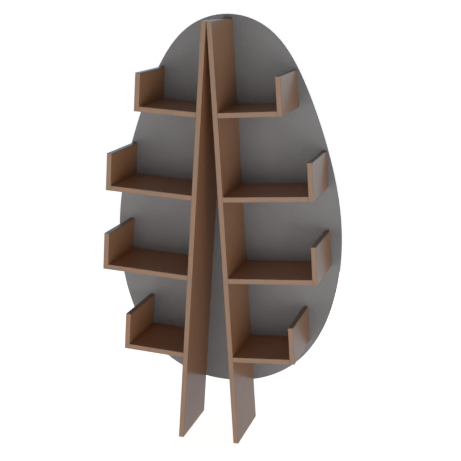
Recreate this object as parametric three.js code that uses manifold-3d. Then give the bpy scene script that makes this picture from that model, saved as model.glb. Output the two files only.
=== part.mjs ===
import * as THREE from 'three';
import { mergeVertices } from 'three/addons/utils/BufferGeometryUtils.js';
import Module from 'manifold-3d';

// Tree shaped bookcase. Two trunk boards lean together at the top and part towards the floor,
// each with four shelves standing square to it, and an egg shaped panel behind them is the crown.
// Lengths are in millimetres. +Z is up and the front faces -Y.
// The origin is on the floor, under the middle of the bounding box.

// Boards
const BOARD_THICKNESS = 18;
const BOARD_DEPTH = 254;
const BOARD_ARRIS = 1.5;
const ARRIS_STEPS = 3;

// Trunk
const LEAN_DEGREES = 3.6;
const LEG_LENGTH = 306;
const TOP_LENGTH = 320;
const TRUNK_TOP_GAP = 1;

// Shelves, from the lowest to the highest
const SHELF_PITCH = 287;
const SHORT_SHELF = 204;
const LONG_SHELF = 297;
const SHELF_LENGTHS = [SHORT_SHELF, LONG_SHELF, LONG_SHELF, SHORT_SHELF];
const END_HEIGHT = 132;

// Crown panel, which stands out past the trunk and the longest shelves
const PANEL_THICKNESS = 9;
const PANEL_OVERHANG = 35;
const PANEL_RISE = 16;
const PANEL_FLOOR_CLEARANCE = 137;
const PANEL_ARRIS = 1;
const PANEL_ARRIS_STEPS = 2;
const PANEL_SWELL_SHARES = [1, 0.096, 0.03, -0.006, 0.012];
const PANEL_FLANK_STEPS = 72;

// Joints
const SEAT_GAP = 0.3;
const CUT_OVERRUN = 5;
const BISCUIT_LENGTH = 56;
const BISCUIT_WIDTH = 23;
const BISCUIT_THICKNESS = 4;
const BISCUIT_INSET = 52;
const BISCUIT_ARC_STEPS = 4;
const SLOT_CUTTER_RADIUS = 50;
const SLOT_CUTTER_STEPS = 48;

// Screws through the panel
const SCREW_LENGTH = 40;
const SCREW_DIAMETER = 4;
const SCREW_POINT = 7;
const SCREW_HEAD_DIAMETER = 8;
const SCREW_HEAD_RIM = 0.4;
const SCREW_SINK = 0.3;
const SCREW_STEPS = 12;
const RECESS_SPAN = 4.4;
const RECESS_WIDTH = 1;
const RECESS_DEPTH = 2;

const LEAN = THREE.MathUtils.degToRad(LEAN_DEGREES);
const SHELF_COUNT = SHELF_LENGTHS.length;
const TRUNK_LENGTH = LEG_LENGTH + SHELF_PITCH * (SHELF_COUNT - 1) + TOP_LENGTH;
const TRUNK_TOP_HEIGHT = TRUNK_LENGTH * Math.cos(LEAN);
const FOOT_REACH = TRUNK_TOP_GAP / 2 + TRUNK_LENGTH * Math.sin(LEAN);
const SHELF_REACH = Math.max(...SHELF_LENGTHS.map(shelfReach));
const PANEL_FRONT = BOARD_DEPTH + SEAT_GAP;
const PANEL_BACK = PANEL_FRONT + PANEL_THICKNESS;
const FRONT_Y = -PANEL_BACK / 2;

const wasm = await Module();
wasm.setup();

const melamine = { color: '#8b6c57', roughness: 0.45, metalness: 0 };
const greyLacquer = { color: '#6d6c6b', roughness: 0.5, metalness: 0 };
const beech = { color: '#c79c66', roughness: 0.7, metalness: 0 };
const zincPlate = { color: '#b9bab6', roughness: 0.35, metalness: 1 };

// How far a shelf and its end board stand out from the middle of the bookcase
function shelfReach(length, level) {
  const along = LEG_LENGTH + SHELF_PITCH * level;
  const across = BOARD_THICKNESS + length + BOARD_THICKNESS;
  return FOOT_REACH + across * Math.cos(LEAN) - along * Math.sin(LEAN);
}

// Closed solid of a geometry, with its shared corners merged
function solidOf(geometry) {
  const bare = geometry.clone();
  bare.deleteAttribute('normal');
  bare.deleteAttribute('uv');
  const merged = mergeVertices(bare);
  const corners = merged.index.array;
  const triangles = [];
  for (let i = 0; i < corners.length; i += 3) {
    const [a, b, c] = corners.slice(i, i + 3);
    if (a !== b && b !== c && c !== a) triangles.push(a, b, c);
  }
  const mesh = new wasm.Mesh({
    numProp: 3,
    vertProperties: Float32Array.from(merged.attributes.position.array),
    triVerts: Uint32Array.from(triangles),
  });
  return new wasm.Manifold(mesh);
}

// Named mesh of a solid, with its geometry drawn about the point that it is placed by
function pieceOf(name, solid, origin, finish) {
  const { vertProperties, triVerts } = solid.getMesh();
  const geometry = new THREE.BufferGeometry();
  geometry.setAttribute('position', new THREE.BufferAttribute(vertProperties, 3));
  geometry.setIndex(new THREE.BufferAttribute(triVerts, 1));
  geometry.translate(-origin.x, -origin.y, -origin.z);
  geometry.computeVertexNormals();
  const mesh = new THREE.Mesh(geometry, new THREE.MeshStandardMaterial(finish));
  mesh.name = name;
  mesh.position.copy(origin);
  return mesh;
}

function cutAway(solid, cutters) {
  return cutters.reduce((rest, cutter) => rest.subtract(cutter), solid);
}

// Outline through corners given as [across, up, rounding]
function outlineThrough(corners) {
  const shape = new THREE.Shape();
  const cornerAt = (i) => corners.at(i % corners.length);
  corners.forEach(([across, up, rounding], i) => {
    const corner = new THREE.Vector2(across, up);
    const stepTo = ([x, y]) => new THREE.Vector2(x, y).sub(corner).setLength(rounding).add(corner);
    const start = stepTo(cornerAt(i - 1));
    const end = stepTo(cornerAt(i + 1));
    if (i === 0) shape.moveTo(start.x, start.y);
    else shape.lineTo(start.x, start.y);
    if (rounding > 0) shape.quadraticCurveTo(across, up, end.x, end.y);
  });
  return shape;
}

// Prism that runs along one axis between two places, its outline drawn in the other two axes
function prism(axis, shape, from, to) {
  const length = Math.abs(to - from);
  const start = Math.min(from, to);
  const x = new THREE.Vector3(1, 0, 0);
  const y = new THREE.Vector3(0, 1, 0);
  const z = new THREE.Vector3(0, 0, 1);
  const options = { depth: length, bevelEnabled: false, curveSegments: ARRIS_STEPS };
  const geometry = new THREE.ExtrudeGeometry(shape, options);
  const turned = new THREE.Matrix4();
  if (axis === 'x') turned.makeBasis(y, z, x).setPosition(start, 0, 0);
  if (axis === 'y') turned.makeBasis(x, z, y.negate()).setPosition(0, start + length, 0);
  if (axis === 'z') turned.makeBasis(x, y, z).setPosition(0, 0, start);
  return solidOf(geometry.applyMatrix4(turned));
}

// Upright board between two places across the comb, with its bare front and top arrises eased
function uprightBoard(inner, outer, innerFoot, outerFoot, top, footArris) {
  const elevation = outlineThrough([
    [inner, innerFoot, footArris],
    [outer, outerFoot, footArris],
    [outer, top, BOARD_ARRIS],
    [inner, top, BOARD_ARRIS],
  ]);
  const plan = outlineThrough([
    [inner, 0, BOARD_ARRIS],
    [outer, 0, BOARD_ARRIS],
    [outer, BOARD_DEPTH, 0],
    [inner, BOARD_DEPTH, 0],
  ]);
  const foot = Math.min(innerFoot, outerFoot);
  const flank = outlineThrough([
    [0, foot, footArris],
    [BOARD_DEPTH, foot, 0],
    [BOARD_DEPTH, top, 0],
    [0, top, BOARD_ARRIS],
  ]);
  const middle = (inner + outer) / 2;
  return prism('y', elevation, 0, BOARD_DEPTH)
    .intersect(prism('z', plan, outerFoot - CUT_OVERRUN, top + CUT_OVERRUN))
    .intersect(prism('x', flank, middle - BOARD_THICKNESS, middle + BOARD_THICKNESS));
}

// Shelf board between two places across the comb, with its front arrises eased
function shelfBoard(inner, outer, underside) {
  const topFace = underside + BOARD_THICKNESS;
  const section = outlineThrough([
    [0, underside, BOARD_ARRIS],
    [BOARD_DEPTH, underside, 0],
    [BOARD_DEPTH, topFace, 0],
    [0, topFace, BOARD_ARRIS],
  ]);
  return prism('x', section, inner, outer);
}

// Pressed beech biscuit: two arcs of the slot cutter's radius with clipped tips
function biscuitSolid(centre) {
  const flat = SLOT_CUTTER_RADIUS - BISCUIT_WIDTH / 2;
  const sweep = Math.asin(BISCUIT_LENGTH / 2 / SLOT_CUTTER_RADIUS);
  const shape = new THREE.Shape();
  shape.absarc(-flat, 0, SLOT_CUTTER_RADIUS, -sweep, sweep, false);
  shape.absarc(flat, 0, SLOT_CUTTER_RADIUS, Math.PI - sweep, Math.PI + sweep, false);
  const options = { depth: BISCUIT_THICKNESS, bevelEnabled: false, curveSegments: BISCUIT_ARC_STEPS };
  const geometry = new THREE.ExtrudeGeometry(shape, options);
  geometry.translate(centre.x, centre.y, centre.z - BISCUIT_THICKNESS / 2);
  return solidOf(geometry);
}

// Slot left by a round cutter that plunges into a face towards +X or -X
function slotSolid(centre, direction) {
  const plunge = BISCUIT_WIDTH / 2 + SEAT_GAP;
  const height = BISCUIT_THICKNESS + 2 * SEAT_GAP;
  const radius = SLOT_CUTTER_RADIUS;
  const geometry = new THREE.CylinderGeometry(radius, radius, height, SLOT_CUTTER_STEPS);
  geometry.rotateX(Math.PI / 2);
  geometry.translate(centre.x + direction * (plunge - radius), centre.y, centre.z);
  return solidOf(geometry);
}

// Turned profile of a countersunk screw that points to -Y, wider by a clearance where it is a hole
function screwProfile(clearance, headOverrun) {
  const shank = SCREW_DIAMETER / 2 + clearance;
  const head = SCREW_HEAD_DIAMETER / 2 + clearance;
  const headTop = -SCREW_SINK;
  const headBase = headTop - SCREW_HEAD_RIM - (SCREW_HEAD_DIAMETER - SCREW_DIAMETER) / 2;
  const tip = headTop - SCREW_LENGTH - clearance;
  const points = [
    [0, tip],
    [shank, tip + SCREW_POINT],
    [shank, headBase],
    [head, headTop - SCREW_HEAD_RIM],
    [head, headTop + headOverrun],
    [0, headTop + headOverrun],
  ];
  return points.map(([x, y]) => new THREE.Vector2(x, y));
}

function turnedScrew(seat, clearance, headOverrun) {
  const geometry = new THREE.LatheGeometry(screwProfile(clearance, headOverrun), SCREW_STEPS);
  return solidOf(geometry.translate(seat.x, seat.y, seat.z));
}

function screwSolid(seat) {
  const recess = [
    new THREE.BoxGeometry(RECESS_SPAN, RECESS_DEPTH, RECESS_WIDTH),
    new THREE.BoxGeometry(RECESS_WIDTH, RECESS_DEPTH, RECESS_SPAN),
  ];
  return cutAway(
    turnedScrew(seat, 0, 0),
    recess.map((box) => solidOf(box.translate(seat.x, seat.y - SCREW_SINK, seat.z))),
  );
}

function screwHole(seat) {
  return turnedScrew(seat, SEAT_GAP, CUT_OVERRUN);
}

// Egg with its wide end down. A half turn runs up one flank from the foot to the top, and each share
// is the swell of one more sine wave: the first makes an ellipse, the others fill out the lower half.
function eggOutline(bottom, top, halfWidth) {
  const swell = (turn) =>
    PANEL_SWELL_SHARES.reduce((sum, share, wave) => sum + share * Math.sin((wave + 1) * turn), 0);
  const stepTurn = Math.PI / PANEL_FLANK_STEPS;
  const turns = Array.from({ length: PANEL_FLANK_STEPS + 1 }, (_, step) => step * stepTurn);
  const widest = Math.max(...turns.map(swell));
  const rightFlank = turns.map((turn) => new THREE.Vector2(
    halfWidth * (swell(turn) / widest),
    THREE.MathUtils.lerp(bottom, top, (1 - Math.cos(turn)) / 2),
  ));
  const leftFlank = rightFlank.slice(1, -1).reverse().map(({ x, y }) => new THREE.Vector2(-x, y));
  return new THREE.Shape([...rightFlank, ...leftFlank]);
}

// Crown panel with its arrises eased on both faces
function panelSolid() {
  const top = TRUNK_TOP_HEIGHT + PANEL_RISE;
  const outline = eggOutline(PANEL_FLOOR_CLEARANCE, top, SHELF_REACH + PANEL_OVERHANG);
  const geometry = new THREE.ExtrudeGeometry(outline, {
    depth: PANEL_THICKNESS - 2 * PANEL_ARRIS,
    bevelThickness: PANEL_ARRIS,
    bevelSize: PANEL_ARRIS,
    bevelOffset: -PANEL_ARRIS,
    bevelSegments: PANEL_ARRIS_STEPS,
  });
  geometry.rotateX(Math.PI / 2);
  geometry.translate(0, FRONT_Y + PANEL_BACK - PANEL_ARRIS, 0);
  return solidOf(geometry);
}

// Where the pieces of one shelf go, in the frame of its leaning comb
function shelfLayout(side, level) {
  const underside = LEG_LENGTH + SHELF_PITCH * level;
  const nextUp = level < SHELF_COUNT - 1 ? underside + SHELF_PITCH : TRUNK_LENGTH;
  const middle = underside + BOARD_THICKNESS / 2;
  const trunkFace = side * BOARD_THICKNESS;
  const endFace = side * (BOARD_THICKNESS + SHELF_LENGTHS[level]);
  const bayMiddle = (underside + BOARD_THICKNESS + nextUp) / 2;
  return {
    underside,
    trunkFace,
    endFace,
    trunkBiscuits: {
      front: new THREE.Vector3(trunkFace, BISCUIT_INSET, middle),
      rear: new THREE.Vector3(trunkFace, BOARD_DEPTH - BISCUIT_INSET, middle),
    },
    endBiscuit: new THREE.Vector3(endFace, BOARD_DEPTH / 2, middle),
    shelfScrew: new THREE.Vector3((trunkFace + endFace) / 2, PANEL_BACK, middle),
    trunkScrew: new THREE.Vector3(trunkFace / 2, PANEL_BACK, bayMiddle),
  };
}

function trunkPiece(sideName, side, layouts) {
  const outer = side * BOARD_THICKNESS;
  const outerFoot = -BOARD_THICKNESS * Math.tan(LEAN);
  const slots = layouts.flatMap(({ trunkBiscuits }) =>
    Object.values(trunkBiscuits).map((centre) => slotSolid(centre, -side)));
  const holes = layouts.map(({ trunkScrew }) => screwHole(trunkScrew));
  const board = uprightBoard(0, outer, 0, outerFoot, TRUNK_LENGTH, 0);
  const cut = cutAway(board, [...slots, ...holes]);
  return pieceOf(`${sideName}_trunk_board`, cut, new THREE.Vector3(), melamine);
}

function shelfPiece(sideName, side, number, layout) {
  const { underside, trunkFace, endFace, trunkBiscuits, endBiscuit, shelfScrew } = layout;
  const cutters = [
    slotSolid(trunkBiscuits.front, side),
    slotSolid(trunkBiscuits.rear, side),
    slotSolid(endBiscuit, -side),
    screwHole(shelfScrew),
  ];
  const board = shelfBoard(trunkFace + side * SEAT_GAP, endFace - side * SEAT_GAP, underside);
  const origin = new THREE.Vector3(trunkFace, 0, underside);
  return pieceOf(`${sideName}_shelf_${number}`, cutAway(board, cutters), origin, melamine);
}

function endPiece(sideName, side, number, layout) {
  const { underside, endFace, endBiscuit } = layout;
  const outer = endFace + side * BOARD_THICKNESS;
  const top = underside + END_HEIGHT;
  const board = uprightBoard(endFace, outer, underside, underside, top, BOARD_ARRIS);
  const origin = new THREE.Vector3(endFace, 0, underside);
  const cutters = [slotSolid(endBiscuit, side)];
  return pieceOf(`${sideName}_shelf_end_${number}`, cutAway(board, cutters), origin, melamine);
}

function biscuitPiece(name, centre) {
  return pieceOf(name, biscuitSolid(centre), centre, beech);
}

function screwPiece(name, seat) {
  return pieceOf(name, screwSolid(seat), seat, zincPlate);
}

// One trunk board with its four shelves, turned to lean as the trunk does
function combGroup(sideName, side) {
  const comb = new THREE.Group();
  comb.position.set(side * FOOT_REACH, FRONT_Y, 0);
  comb.rotation.y = -side * LEAN;
  const layouts = SHELF_LENGTHS.map((length, level) => shelfLayout(side, level));
  comb.add(trunkPiece(sideName, side, layouts));
  layouts.forEach((layout, level) => {
    const number = level + 1;
    comb.add(shelfPiece(sideName, side, number, layout));
    comb.add(endPiece(sideName, side, number, layout));
    for (const [place, centre] of Object.entries(layout.trunkBiscuits)) {
      comb.add(biscuitPiece(`${sideName}_trunk_biscuit_${number}_${place}`, centre));
    }
    comb.add(biscuitPiece(`${sideName}_end_biscuit_${number}`, layout.endBiscuit));
    comb.add(screwPiece(`${sideName}_shelf_screw_${number}`, layout.shelfScrew));
    comb.add(screwPiece(`${sideName}_trunk_screw_${number}`, layout.trunkScrew));
  });
  comb.updateMatrixWorld();
  const seats = layouts.flatMap(({ shelfScrew, trunkScrew }) => [shelfScrew, trunkScrew]);
  return { comb, panelSeats: seats.map((seat) => comb.localToWorld(seat.clone())) };
}

const bookcase = new THREE.Group();
const combs = [combGroup('left', -1), combGroup('right', 1)];
combs.forEach(({ comb }) => bookcase.add(comb));
const panelHoles = combs.flatMap(({ panelSeats }) => panelSeats.map(screwHole));
const panelOrigin = new THREE.Vector3(0, FRONT_Y + PANEL_FRONT, PANEL_FLOOR_CLEARANCE);
bookcase.add(pieceOf('back_panel', cutAway(panelSolid(), panelHoles), panelOrigin, greyLacquer));

export default bookcase;
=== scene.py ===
import math

import bpy
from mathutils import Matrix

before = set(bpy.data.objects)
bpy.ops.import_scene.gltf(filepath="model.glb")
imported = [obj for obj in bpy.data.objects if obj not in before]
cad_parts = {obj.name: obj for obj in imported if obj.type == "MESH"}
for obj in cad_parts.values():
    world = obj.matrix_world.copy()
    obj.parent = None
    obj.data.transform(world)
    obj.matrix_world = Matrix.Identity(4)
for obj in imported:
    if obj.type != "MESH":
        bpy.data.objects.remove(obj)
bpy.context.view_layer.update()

# Camera. A long lens a little above the bookcase and to its right, at the photograph's viewpoint.
# Everything that the picture shows behind the bookcase is floor.
CAMERA_PLACE = (1.03793, -3.52033, 1.63455)
CAMERA_TILT_DOWN = 13.5865
CAMERA_TURN = 15.7332
CAMERA_LENS = 82.816
SENSOR_WIDTH = 36
camera = bpy.data.objects.new("camera", bpy.data.cameras.new("camera"))
camera.data.sensor_width = SENSOR_WIDTH
camera.data.lens = CAMERA_LENS
camera.location = CAMERA_PLACE
camera.rotation_euler = (math.radians(90 - CAMERA_TILT_DOWN), 0, math.radians(CAMERA_TURN))
bpy.context.scene.collection.objects.link(camera)
bpy.context.scene.camera = camera

# Trunk boards. Two full-height boards of 18 mm chipboard, leaning together at the top. Their faces
# are satin printed melamine in a red-brown wood, with the grain running up. Their front and top
# edges have a 2 mm edging in a darker shade of the same wood, glued on and trimmed flush.
LEAN = math.radians(3.6)
BOARD_FRONT = -0.13165
EDGING_THICKNESS = 0.002
GLUE_LINE_HALF = 0.00012
FACE_WARM = (0.330, 0.158, 0.075, 1)
FACE_COOL = (0.306, 0.154, 0.079, 1)
EDGE_WARM = (0.196, 0.107, 0.061, 1)
EDGE_COOL = (0.166, 0.103, 0.067, 1)
GLUE_COLOUR = (0.10, 0.05, 0.028, 1)
STREAK_SHADES = (0.97, 1.03)
PORE_SHADES = (1.0, 0.93)
PORE_STRENGTH = 0.05
PORE_DEPTH = 0.00005
BOARD_ROUGHNESS = (0.275, 0.285)
BOARD_GLOSS = 0.18

# Each board is finished as if it stood upright. Turned upright about the middle of the floor, its
# foot lies this far below the floor.
FOOT_DROP = 0.0059
TRUNK_TOP = 1.487 - FOOT_DROP

# Marks of the grain: how wide and how long they are, and how much finer marking each kind holds.
PATCH_SIZE, PATCH_DETAIL = (0.016, 0.045), 2.0
STREAK_SIZE, STREAK_DETAIL = (0.0011, 0.07), 3.0
PORE_SIZE, PORE_DETAIL = (0.0004, 0.006), 1.0
SPECKLE_ROUGHNESS = 0.6

# Most of a speckle lies within the wide spread. The pore spread takes in only its highest spots.
WIDE_SPREAD = (0.3, 0.7)
CLOSE_SPREAD = (0.35, 0.65)
PORE_SPREAD = (0.62, 0.72)

# A face lies square to an axis if more than this share of its direction is along it.
FACING_SHARE = 0.7

# Each board takes another part of the printed wood, by its own number.
PRINT_SHIFT = (1.37, 0.71, 2.13)
TRUNK_PRINT = 3


def add_node(tree, kind, values, **settings):
    node = tree.nodes.new("ShaderNode" + kind)
    for setting, value in settings.items():
        setattr(node, setting, value)
    for socket, value in values.items():
        if isinstance(value, bpy.types.NodeSocket):
            tree.links.new(value, node.inputs[socket])
        else:
            node.inputs[socket].default_value = value
    return node


def calculate(tree, operation, first, second=0.0, third=0.0):
    values = {0: first, 1: second, 2: third}
    return add_node(tree, "Math", values, operation=operation).outputs[0]


# The mix node has sockets of the same names for numbers and for colours, so they go by place.
def mix_values(tree, amount, first, second):
    return add_node(tree, "Mix", {0: amount, 2: first, 3: second}).outputs[0]


def mix_colours(tree, amount, first, second, kind="MIX"):
    values = {0: amount, 6: first, 7: second}
    return add_node(tree, "Mix", values, data_type="RGBA", blend_type=kind).outputs[2]


def split(tree, vector):
    return add_node(tree, "SeparateXYZ", {0: vector}).outputs


def stretch(tree, value, spread, to=(0.0, 1.0)):
    values = {
        "Value": value,
        "From Min": spread[0],
        "From Max": spread[1],
        "To Min": to[0],
        "To Max": to[1],
    }
    return add_node(tree, "MapRange", values).outputs["Result"]


def speckle(tree, vector, scale, detail):
    scaled = add_node(tree, "Mapping", {"Vector": vector, "Scale": scale}).outputs["Vector"]
    values = {"Vector": scaled, "Scale": 1.0, "Detail": detail, "Roughness": SPECKLE_ROUGHNESS}
    return add_node(tree, "TexNoise", values).outputs[0]


def grain_along(axis, size):
    across, length = size
    return tuple(1 / length if name == axis else 1 / across for name in "XYZ")


def start_finish(name):
    finish = bpy.data.materials.new(name)
    finish.use_nodes = True
    return finish, finish.node_tree, finish.node_tree.nodes["Principled BSDF"]


def emboss(tree, shader, height, strength, depth):
    values = {"Height": height, "Strength": strength, "Distance": depth}
    tree.links.new(add_node(tree, "Bump", values).outputs[0], shader.inputs["Normal"])


def stand_upright(tree, side):
    coords = tree.nodes.new("ShaderNodeTexCoord").outputs
    turn = (0, side * LEAN, 0)
    board = add_node(tree, "Mapping", {"Vector": coords["Object"], "Rotation": turn})
    values = {"Vector": coords["Normal"], "Rotation": turn}
    facing = add_node(tree, "Mapping", values, vector_type="VECTOR")
    return board.outputs[0], split(tree, facing.outputs[0])


def square_to(tree, axis, facing):
    along = calculate(tree, "ABSOLUTE", facing[axis])
    return calculate(tree, "GREATER_THAN", along, FACING_SHARE)


def edging_and_glue(tree, board, facing, edged_top):
    place = split(tree, board)
    edging_back = BOARD_FRONT + EDGING_THICKNESS
    at_front = calculate(tree, "LESS_THAN", place["Y"], edging_back)
    edging = calculate(tree, "MAXIMUM", at_front, square_to(tree, "Y", facing))
    glue = calculate(tree, "COMPARE", place["Y"], edging_back, GLUE_LINE_HALF)
    if edged_top:
        edging_foot = edged_top - EDGING_THICKNESS
        at_top = calculate(tree, "GREATER_THAN", place["Z"], edging_foot)
        edging = calculate(tree, "MAXIMUM", edging, at_top)
        glue_below = calculate(tree, "COMPARE", place["Z"], edging_foot, GLUE_LINE_HALF)
        glue = calculate(tree, "MAXIMUM", glue, glue_below)
    return edging, glue


def grain_marks(tree, board, facing, grain, edged_top, number):
    shift = tuple(number * step for step in PRINT_SHIFT)
    printed = add_node(tree, "Mapping", {"Vector": board, "Location": shift}).outputs[0]
    patches = speckle(tree, printed, grain_along(grain, PATCH_SIZE), PATCH_DETAIL)
    streaks = speckle(tree, printed, grain_along(grain, STREAK_SIZE), STREAK_DETAIL)
    pores = speckle(tree, printed, grain_along(grain, PORE_SIZE), PORE_DETAIL)
    if edged_top:
        top_streaks = speckle(tree, printed, grain_along("Y", STREAK_SIZE), STREAK_DETAIL)
        streaks = mix_values(tree, square_to(tree, "Z", facing), streaks, top_streaks)
    return patches, streaks, pores


def wood_finish(name, side, grain, edged_top, number):
    finish, tree, shader = start_finish(name)
    board, facing = stand_upright(tree, side)
    edging, glue = edging_and_glue(tree, board, facing, edged_top)
    patches, streaks, pores = grain_marks(tree, board, facing, grain, edged_top, number)

    patch = stretch(tree, patches, CLOSE_SPREAD)
    face_colour = mix_colours(tree, patch, FACE_WARM, FACE_COOL)
    edge_colour = mix_colours(tree, patch, EDGE_WARM, EDGE_COOL)
    colour = mix_colours(tree, edging, face_colour, edge_colour)
    colour = mix_colours(tree, glue, colour, GLUE_COLOUR)
    streak = stretch(tree, streaks, WIDE_SPREAD, STREAK_SHADES)
    pore = stretch(tree, pores, PORE_SPREAD, PORE_SHADES)
    shade = calculate(tree, "MULTIPLY", streak, pore)
    shade = add_node(tree, "CombineXYZ", {0: shade, 1: shade, 2: shade}).outputs[0]
    colour = mix_colours(tree, 1.0, colour, shade, "MULTIPLY")
    tree.links.new(colour, shader.inputs["Base Color"])

    roughness = stretch(tree, streaks, WIDE_SPREAD, BOARD_ROUGHNESS)
    tree.links.new(roughness, shader.inputs["Roughness"])
    emboss(tree, shader, pore, PORE_STRENGTH, PORE_DEPTH)
    shader.inputs["Specular IOR Level"].default_value = BOARD_GLOSS
    return finish


def dress(node, finish):
    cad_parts[node].material_slots[0].material = finish


SIDES = (("left", -1), ("right", 1))
for side_name, side in SIDES:
    grain_name = f"{side_name}_trunk_grain"
    finish = wood_finish(grain_name, side, "Z", TRUNK_TOP, TRUNK_PRINT + side)
    dress(f"{side_name}_trunk_board", finish)

# Shelves. Eight boards of the same chipboard, four to a trunk board and square to it, so that they
# slope gently. Their grain runs from the trunk to the end board, and only the front is edged.
SHELF_LEVELS = (1, 2, 3, 4)
SHELF_PRINT = 10
for side_name, side in SIDES:
    for level in SHELF_LEVELS:
        name = f"{side_name}_shelf_{level}"
        number = SHELF_PRINT * side + level
        dress(name, wood_finish(f"{name}_grain", side, "X", None, number))

# Shelf ends. Short upright boards of the same chipboard that close the outer ends of the shelves,
# parallel to the trunk board and edged at the front and on top. Their grain runs upwards.
FIRST_SHELF = 0.306 - FOOT_DROP
SHELF_PITCH = 0.287
END_HEIGHT = 0.132
END_PRINT = 20
for side_name, side in SIDES:
    for level in SHELF_LEVELS:
        name = f"{side_name}_shelf_end_{level}"
        end_top = FIRST_SHELF + SHELF_PITCH * (level - 1) + END_HEIGHT
        number = END_PRINT * side + level
        dress(name, wood_finish(f"{name}_grain", side, "Z", end_top, number))

# Back panel. One sheet of fibreboard, cut to an egg and sprayed grey. The paint has a fine
# hammered texture that breaks up its reflections. Its sawn edge is coloured near black all round,
# as painted shade.
PANEL_GREY = (0.150, 0.144, 0.145, 1)
PANEL_GREY_DEEP = (0.141, 0.135, 0.136, 1)
# Near-black colour for the sawn rim: painted shade, not a darker finish.
RIM_PAINTED_SHADE = (0.035, 0.028, 0.030, 1)
RIM_SHARE = 0.5
CLOUDS_PER_METRE, CLOUD_DETAIL = (9, 9, 9), 2.0
DIMPLES_PER_METRE, DIMPLE_DETAIL = (190, 190, 190), 3.0
DIMPLE_STRENGTH = 1.0
DIMPLE_DEPTH = 0.002
PANEL_ROUGHNESS = 0.3
PANEL_GLOSS = 0.1
finish, tree, shader = start_finish("panel_grey")
coords = tree.nodes.new("ShaderNodeTexCoord").outputs
dimples = speckle(tree, coords["Object"], DIMPLES_PER_METRE, DIMPLE_DETAIL)
clouds = speckle(tree, coords["Object"], CLOUDS_PER_METRE, CLOUD_DETAIL)
outward = split(tree, coords["Normal"])["Y"]
on_rim = calculate(tree, "LESS_THAN", calculate(tree, "ABSOLUTE", outward), RIM_SHARE)
colour = mix_colours(tree, stretch(tree, clouds, WIDE_SPREAD), PANEL_GREY, PANEL_GREY_DEEP)
# The whole sawn rim takes the near-black colour, which is painted shade.
colour = mix_colours(tree, on_rim, colour, RIM_PAINTED_SHADE)
tree.links.new(colour, shader.inputs["Base Color"])
emboss(tree, shader, dimples, DIMPLE_STRENGTH, DIMPLE_DEPTH)
shader.inputs["Roughness"].default_value = PANEL_ROUGHNESS
shader.inputs["Specular IOR Level"].default_value = PANEL_GLOSS
dress("back_panel", finish)

# Biscuits. Twenty-four flat lozenges pressed from beech, glued into slots in the joints, out of
# sight. Their grain runs aslant, and the press leaves them a fine crossed pattern.
BEECH_PALE = (0.56, 0.36, 0.20, 1)
BEECH_DARK = (0.44, 0.26, 0.135, 1)
BISCUIT_GRAIN_ASLANT = math.radians(40)
FIBRE_SIZE, FIBRE_DETAIL = (0.0006, 0.012), 2.0
FLECK_SIZE, FLECK_DETAIL = (0.0004, 0.002), 1.0
FLECK_SPREAD = (0.62, 0.7)
FLECK_TINT = (0.0, 0.5)
HALF_PRESS_PITCH = 0.0008
PRESS_STRENGTH = 0.3
PRESS_DEPTH = 0.0001
BISCUIT_ROUGHNESS = 0.62
BISCUIT_GLOSS = 0.35
finish, tree, shader = start_finish("pressed_beech")
coords = tree.nodes.new("ShaderNodeTexCoord").outputs
values = {"Vector": coords["Object"], "Rotation": (0, 0, BISCUIT_GRAIN_ASLANT)}
aslant = add_node(tree, "Mapping", values).outputs[0]
fibres = speckle(tree, aslant, grain_along("X", FIBRE_SIZE), FIBRE_DETAIL)
flecks = speckle(tree, aslant, grain_along("X", FLECK_SIZE), FLECK_DETAIL)
colour = mix_colours(tree, stretch(tree, fibres, WIDE_SPREAD), BEECH_PALE, BEECH_DARK)
tint = stretch(tree, flecks, FLECK_SPREAD, FLECK_TINT)
tree.links.new(mix_colours(tree, tint, colour, BEECH_DARK), shader.inputs["Base Color"])
pressed = split(tree, aslant)
ribs = [calculate(tree, "PINGPONG", pressed[axis], HALF_PRESS_PITCH) for axis in "XY"]
ribs = stretch(tree, calculate(tree, "MAXIMUM", *ribs), (0.0, HALF_PRESS_PITCH))
emboss(tree, shader, ribs, PRESS_STRENGTH, PRESS_DEPTH)
shader.inputs["Roughness"].default_value = BISCUIT_ROUGHNESS
shader.inputs["Specular IOR Level"].default_value = BISCUIT_GLOSS
for side_name, side in SIDES:
    for level in SHELF_LEVELS:
        dress(f"{side_name}_trunk_biscuit_{level}_front", finish)
        dress(f"{side_name}_trunk_biscuit_{level}_rear", finish)
        dress(f"{side_name}_end_biscuit_{level}", finish)

# Screws. Sixteen countersunk steel screws with bright zinc plating, driven through the back panel
# into the boards. The plating is slightly cloudy, and the rolled steel shows as fine lines.
ZINC_BLUE = (0.52, 0.55, 0.57, 1)
ZINC_STRAW = (0.62, 0.60, 0.53, 1)
TINTS_PER_METRE, TINT_DETAIL = (700, 700, 700), 2.0
LINE_SIZE, LINE_DETAIL = (0.0003, 0.004), 2.0
ZINC_ROUGHNESS = (0.24, 0.4)
finish, tree, shader = start_finish("zinc_plate")
coords = tree.nodes.new("ShaderNodeTexCoord").outputs
tints = speckle(tree, coords["Object"], TINTS_PER_METRE, TINT_DETAIL)
lines = speckle(tree, coords["Object"], grain_along("Y", LINE_SIZE), LINE_DETAIL)
colour = mix_colours(tree, stretch(tree, tints, CLOSE_SPREAD), ZINC_BLUE, ZINC_STRAW)
tree.links.new(colour, shader.inputs["Base Color"])
tree.links.new(stretch(tree, lines, WIDE_SPREAD, ZINC_ROUGHNESS), shader.inputs["Roughness"])
shader.inputs["Metallic"].default_value = 1.0
for side_name, side in SIDES:
    for level in SHELF_LEVELS:
        dress(f"{side_name}_shelf_screw_{level}", finish)
        dress(f"{side_name}_trunk_screw_{level}", finish)

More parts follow.
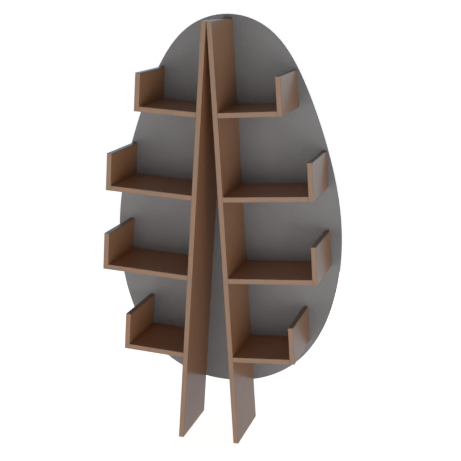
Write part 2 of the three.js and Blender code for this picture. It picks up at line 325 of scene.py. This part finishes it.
# Floor and wall. A plain pale studio floor and, a long way off, a pale wall round it for the
# views from lower down. They only glow for the lens. The light and the reflections that a real
# floor would give the boards come from the studio light.
FLOOR_RADIUS = 75
WALL_HEIGHT = 40
WALL_SIDES = 64
FLOOR_COLOUR = (0.5, 0.5, 0.5, 1)
FLOOR_ROUGHNESS = 0.9
GLOW_COLOUR = (1, 1, 1, 1)
FLOOR_GLOW = 0.875
finish, tree, shader = start_finish("floor_paint")
shader.inputs["Base Color"].default_value = FLOOR_COLOUR
shader.inputs["Roughness"].default_value = FLOOR_ROUGHNESS
shader.inputs["Specular IOR Level"].default_value = 0.0
shader.inputs["Emission Color"].default_value = GLOW_COLOUR
shader.inputs["Emission Strength"].default_value = FLOOR_GLOW
# The corners round the floor come first, and then those round the top of the wall.
turns = [math.tau * corner / WALL_SIDES for corner in range(WALL_SIDES)]
corners = [
    (FLOOR_RADIUS * math.cos(turn), FLOOR_RADIUS * math.sin(turn), height)
    for height in (0, WALL_HEIGHT)
    for turn in turns
]
following = [(corner + 1) % WALL_SIDES for corner in range(WALL_SIDES)]
wall_faces = [
    (corner, after, after + WALL_SIDES, corner + WALL_SIDES)
    for corner, after in enumerate(following)
]
floor_face = tuple(range(WALL_SIDES))
for name, faces in (("floor", [floor_face]), ("wall", wall_faces)):
    mesh = bpy.data.meshes.new(name)
    mesh.from_pydata(corners, [], faces)
    mesh.materials.append(finish)
    surround = bpy.data.objects.new(name, mesh)
    surround.visible_diffuse = False
    surround.visible_glossy = False
    surround.visible_shadow = False
    bpy.context.scene.collection.objects.link(surround)

# Studio light. A dim room that is lighter and cooler behind and to the right, a large soft light
# straight in front, light thrown up from the floor there, and three soft boxes low down. The rear
# box is warm, so that with the cool room it leaves the back of the bookcase in white light.
ROOM_LIGHT = 0.05
OVERHEAD_LIGHT, OVERHEAD_FOCUS = 0.12, 2
FRONT_FLOOR_LIGHT, FRONT_FLOOR_FOCUS = 3.2, 2
FRONT_LIGHT, FRONT_FOCUS = 2.7, 12
BACK_LIGHT, BACK_FOCUS = 0.88, 2
RIGHT_LIGHT, RIGHT_FOCUS = 0.65, 6
NEUTRAL = (1, 1, 1)
BACK_COOL = (0.76, 1.0, 1.18)
RIGHT_COOL = (0.85, 1.0, 1.2)
BOX_WARM = (1.27, 1.0, 0.8)
BOX_SIZE = 0.8
BOX_HEIGHT = 0.4
# Soft boxes: places across and along the floor in metres, power in watts, and colour.
LOW_BOXES = (
    ("left_box", -1.6, -2.2, 4, NEUTRAL),
    ("right_box", 1.6, -2.2, 9.5, NEUTRAL),
    ("rear_box", 0, 2.2, 20, BOX_WARM),
)


# Light from round one direction: the higher its focus, the narrower it is.
def light_from(tree, direction, focus, strength, added=0.0):
    share = calculate(tree, "POWER", direction, focus)
    return calculate(tree, "MULTIPLY_ADD", share, strength, added)


world = bpy.data.worlds.new("studio")
world.use_nodes = True
tree = world.node_tree
towards = split(tree, tree.nodes.new("ShaderNodeTexCoord").outputs["Generated"])
forwards = calculate(tree, "MAXIMUM", calculate(tree, "MULTIPLY", towards["Y"], -1), 0)
backwards = calculate(tree, "MAXIMUM", towards["Y"], 0)
rightwards = calculate(tree, "MAXIMUM", towards["X"], 0)
room = light_from(tree, towards["Z"], OVERHEAD_FOCUS, OVERHEAD_LIGHT, ROOM_LIGHT)
front_floor = light_from(tree, forwards, FRONT_FLOOR_FOCUS, FRONT_FLOOR_LIGHT)
above = calculate(tree, "GREATER_THAN", towards["Z"], 0)
around = mix_values(tree, above, front_floor, room)
front = light_from(tree, forwards, FRONT_FOCUS, FRONT_LIGHT, around)
back = light_from(tree, backwards, BACK_FOCUS, BACK_LIGHT)
right = light_from(tree, rightwards, RIGHT_FOCUS, RIGHT_LIGHT)
light = (0, 0, 0)
for share, colour in ((front, NEUTRAL), (back, BACK_COOL), (right, RIGHT_COOL)):
    part = add_node(tree, "VectorMath", {0: colour, "Scale": share}, operation="SCALE").outputs[0]
    light = add_node(tree, "VectorMath", {0: light, 1: part}, operation="ADD").outputs[0]
tree.links.new(light, tree.nodes["Background"].inputs["Color"])
bpy.context.scene.world = world
for name, across, along, power, colour in LOW_BOXES:
    box = bpy.data.objects.new(name, bpy.data.lights.new(name, "AREA"))
    box.data.shape = "DISK"
    box.data.size = BOX_SIZE
    box.data.energy = power
    box.data.color = colour
    box.location = (across, along, BOX_HEIGHT)
    # Stood up, and turned to face the bookcase
    box.rotation_euler = (math.pi / 2, 0, math.atan2(across, -along))
    box.visible_camera = False
    box.visible_glossy = False
    bpy.context.scene.collection.objects.link(box)
bpy.context.scene.view_settings.view_transform = "Standard"
